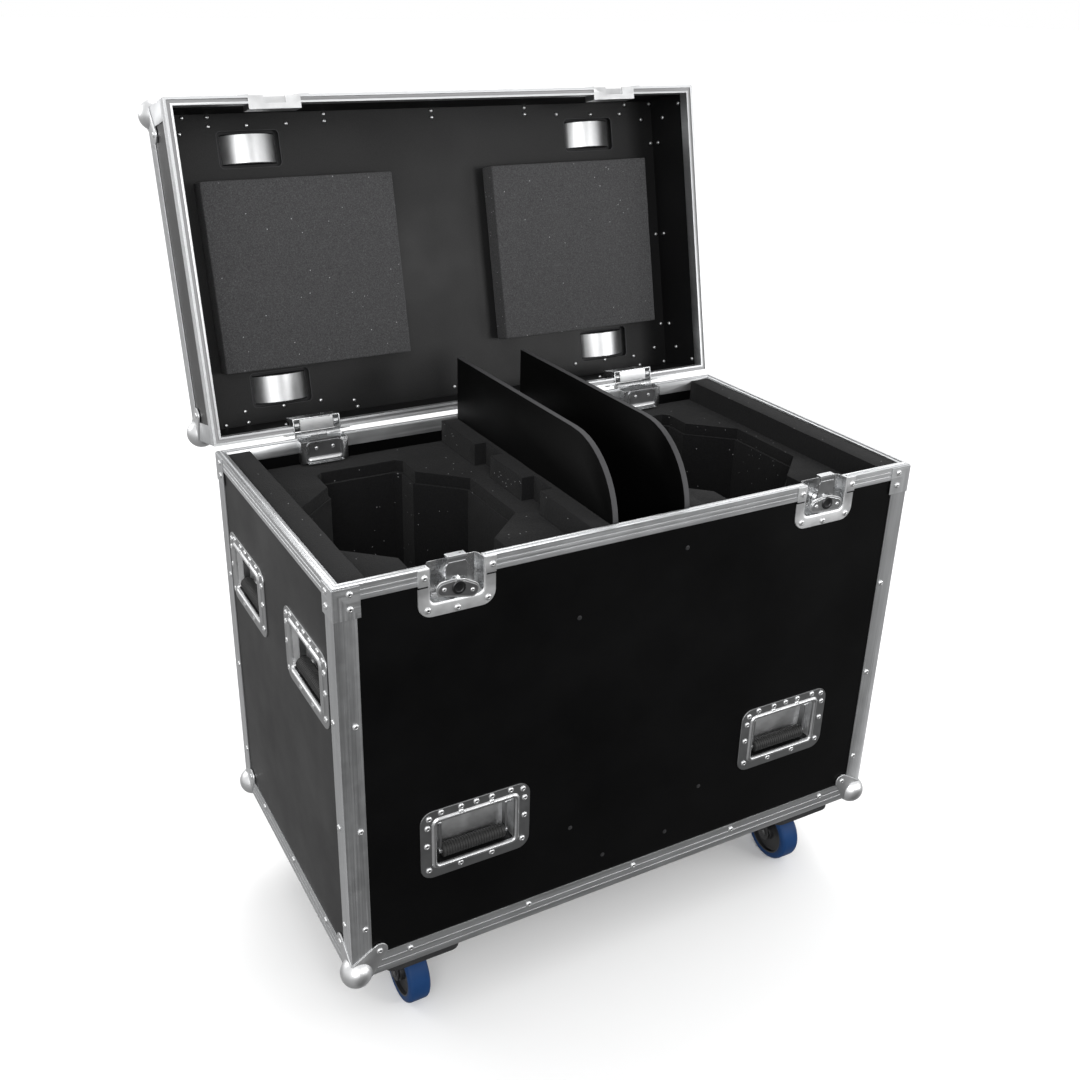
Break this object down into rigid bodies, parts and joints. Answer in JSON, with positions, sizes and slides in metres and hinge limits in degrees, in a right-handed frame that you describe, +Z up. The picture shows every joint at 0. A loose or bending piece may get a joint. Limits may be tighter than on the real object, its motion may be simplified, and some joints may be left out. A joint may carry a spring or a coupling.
{
  "type": "lighting flight case",
  "caption": "Wheeled plywood flight case with aluminium edges, an open hinged lid, foam-lined fixture bays, tall dividers, recessed handles and butterfly latches.",
  "frame": {"origin": "on the floor under the middle of the bounding box, with the lid open", "axes": "+X to the right along the front, +Y to the back towards the hinges, +Z up"},
  "size_m": [0.978, 0.7952, 1.2838],
  "materials": {
    "laminate": "black phenolic laminate on plywood, satin with a fine grain",
    "board": "black coated plywood, matt",
    "aluminium": "mill finish extrusion, lightly brushed",
    "zinc": "bright zinc plate on pressed steel",
    "dark_steel": "black coated pressed steel",
    "foam": "charcoal closed-cell foam with pale specks",
    "rubber": "black ribbed rubber",
    "tyre": "blue elastic tyre on a black hub"
  },
  "bodies": {
    "base": {"base_back_board": "laminate", "base_edges": "aluminium", "base_floor_board": "laminate", "base_front_board": "laminate", "base_rim_back": "aluminium", "base_rim_front": "aluminium", "base_rim_left": "aluminium", "base_rim_right": "aluminium", "base_side_board_left": "laminate", "base_side_board_right": "laminate", "castor_board_left": "board", "castor_board_right": "board", "divider_left": "board", "divider_right": "board", "foam_block_left": "foam", "foam_block_right": "foam", "foam_tier_left": "foam", "foam_tier_right": "foam", "handle_dish_front_left": "zinc", "handle_dish_front_right": "zinc", "handle_dish_left_back": "zinc", "handle_dish_left_front": "zinc", "handle_dish_right_back": "zinc", "handle_dish_right_front": "zinc", "hinge_base_left": "zinc", "hinge_base_right": "zinc", "latch_dish_left": "zinc", "latch_dish_right": "zinc"},
    "lid": {"lid_edges": "aluminium", "lid_pad_left": "foam", "lid_pad_right": "foam", "lid_rim": "aluminium", "lid_rim_back": "aluminium", "lid_side_boards": "laminate", "lid_top_board": "laminate", "hinge_lid_left": "zinc", "hinge_lid_right": "zinc", "stacking_cup_back_left": "zinc", "stacking_cup_back_right": "zinc", "stacking_cup_front_left": "zinc", "stacking_cup_front_right": "zinc"},
    "handle_grip_front_left": {"handle_grip_front_left": "rubber"},
    "handle_grip_front_right": {"handle_grip_front_right": "rubber"},
    "handle_grip_left_front": {"handle_grip_left_front": "rubber"},
    "handle_grip_left_back": {"handle_grip_left_back": "rubber"},
    "handle_grip_right_front": {"handle_grip_right_front": "rubber"},
    "handle_grip_right_back": {"handle_grip_right_back": "rubber"},
    "latch_key_left": {"latch_key_left": "dark_steel"},
    "latch_hook_left": {"latch_hook_left": "zinc"},
    "latch_key_right": {"latch_key_right": "dark_steel"},
    "latch_hook_right": {"latch_hook_right": "zinc"},
    "castor_fork_front_left": {"castor_fork_front_left": "dark_steel"},
    "castor_wheel_front_left": {"castor_wheel_front_left": "tyre"},
    "castor_fork_front_right": {"castor_fork_front_right": "dark_steel"},
    "castor_wheel_front_right": {"castor_wheel_front_right": "tyre"},
    "castor_fork_back_left": {"castor_fork_back_left": "dark_steel"},
    "castor_wheel_back_left": {"castor_wheel_back_left": "tyre"},
    "castor_fork_back_right": {"castor_fork_back_right": "dark_steel"},
    "castor_wheel_back_right": {"castor_wheel_back_right": "tyre"}
  },
  "joints": [
    {"name": "lid_hinge", "type": "hinge", "parent": "base", "child": "lid", "pos_m": [0, 0.1414, 0.7705], "axis": [1, 0, 0], "range_deg": [0, 102.8]},
    {"name": "grip_front_left_turn", "type": "hinge", "parent": "base", "child": "handle_grip_front_left", "pos_m": [-0.2795, -0.3706, 0.361], "axis": [-1, 0, 0], "range_deg": [0, 90], "stiffness_Nm_per_rad": 0.1},
    {"name": "grip_front_right_turn", "type": "hinge", "parent": "base", "child": "handle_grip_front_right", "pos_m": [0.2795, -0.3706, 0.361], "axis": [-1, 0, 0], "range_deg": [0, 90], "stiffness_Nm_per_rad": 0.1},
    {"name": "grip_left_front_turn", "type": "hinge", "parent": "base", "child": "handle_grip_left_front", "pos_m": [-0.462, -0.2586, 0.62], "axis": [0, 1, 0], "range_deg": [0, 90], "stiffness_Nm_per_rad": 0.1},
    {"name": "grip_left_back_turn", "type": "hinge", "parent": "base", "child": "handle_grip_left_back", "pos_m": [-0.462, 0.0114, 0.62], "axis": [0, 1, 0], "range_deg": [0, 90], "stiffness_Nm_per_rad": 0.1},
    {"name": "grip_right_front_turn", "type": "hinge", "parent": "base", "child": "handle_grip_right_front", "pos_m": [0.462, -0.2586, 0.62], "axis": [0, -1, 0], "range_deg": [0, 90], "stiffness_Nm_per_rad": 0.1},
    {"name": "grip_right_back_turn", "type": "hinge", "parent": "base", "child": "handle_grip_right_back", "pos_m": [0.462, 0.0114, 0.62], "axis": [0, -1, 0], "range_deg": [0, 90], "stiffness_Nm_per_rad": 0.1},
    {"name": "key_left_turn", "type": "hinge", "parent": "base", "child": "latch_key_left", "pos_m": [-0.307, -0.3836, 0.737], "axis": [0, 1, 0], "range_deg": [0, 180]},
    {"name": "hook_left_slide", "type": "slide", "parent": "base", "child": "latch_hook_left", "axis": [0, 0.908, -0.4191], "range_m": [0, 0.00716]},
    {"name": "key_right_turn", "type": "hinge", "parent": "base", "child": "latch_key_right", "pos_m": [0.307, -0.3836, 0.737], "axis": [0, -1, 0], "range_deg": [0, 180]},
    {"name": "hook_right_slide", "type": "slide", "parent": "base", "child": "latch_hook_right", "axis": [0, 0.908, -0.4191], "range_m": [0, 0.00716]},
    {"name": "castor_front_left_swivel", "type": "hinge", "parent": "base", "child": "castor_fork_front_left", "pos_m": [-0.36, -0.2736, 0.119], "axis": [0, 0, 1], "continuous": true},
    {"name": "wheel_front_left_roll", "type": "hinge", "parent": "castor_fork_front_left", "child": "castor_wheel_front_left", "pos_m": [-0.36, -0.3096, 0.05], "axis": [1, 0, 0], "continuous": true},
    {"name": "castor_front_right_swivel", "type": "hinge", "parent": "base", "child": "castor_fork_front_right", "pos_m": [0.36, -0.2736, 0.119], "axis": [0, 0, 1], "continuous": true},
    {"name": "wheel_front_right_roll", "type": "hinge", "parent": "castor_fork_front_right", "child": "castor_wheel_front_right", "pos_m": [0.36, -0.3096, 0.05], "axis": [1, 0, 0], "continuous": true},
    {"name": "castor_back_left_swivel", "type": "hinge", "parent": "base", "child": "castor_fork_back_left", "pos_m": [-0.36, 0.0264, 0.119], "axis": [0, 0, 1], "continuous": true},
    {"name": "wheel_back_left_roll", "type": "hinge", "parent": "castor_fork_back_left", "child": "castor_wheel_back_left", "pos_m": [-0.36, -0.0096, 0.05], "axis": [1, 0, 0], "continuous": true},
    {"name": "castor_back_right_swivel", "type": "hinge", "parent": "base", "child": "castor_fork_back_right", "pos_m": [0.36, 0.0264, 0.119], "axis": [0, 0, 1], "continuous": true},
    {"name": "wheel_back_right_roll", "type": "hinge", "parent": "castor_fork_back_right", "child": "castor_wheel_back_right", "pos_m": [0.36, -0.0096, 0.05], "axis": [1, 0, 0], "continuous": true}
  ],
  "couplings": [
    {"joint": "hook_left_slide", "follows": "key_left_turn", "m_per_rad": 0.0022788},
    {"joint": "hook_right_slide", "follows": "key_right_turn", "m_per_rad": 0.0022788}
  ]
}
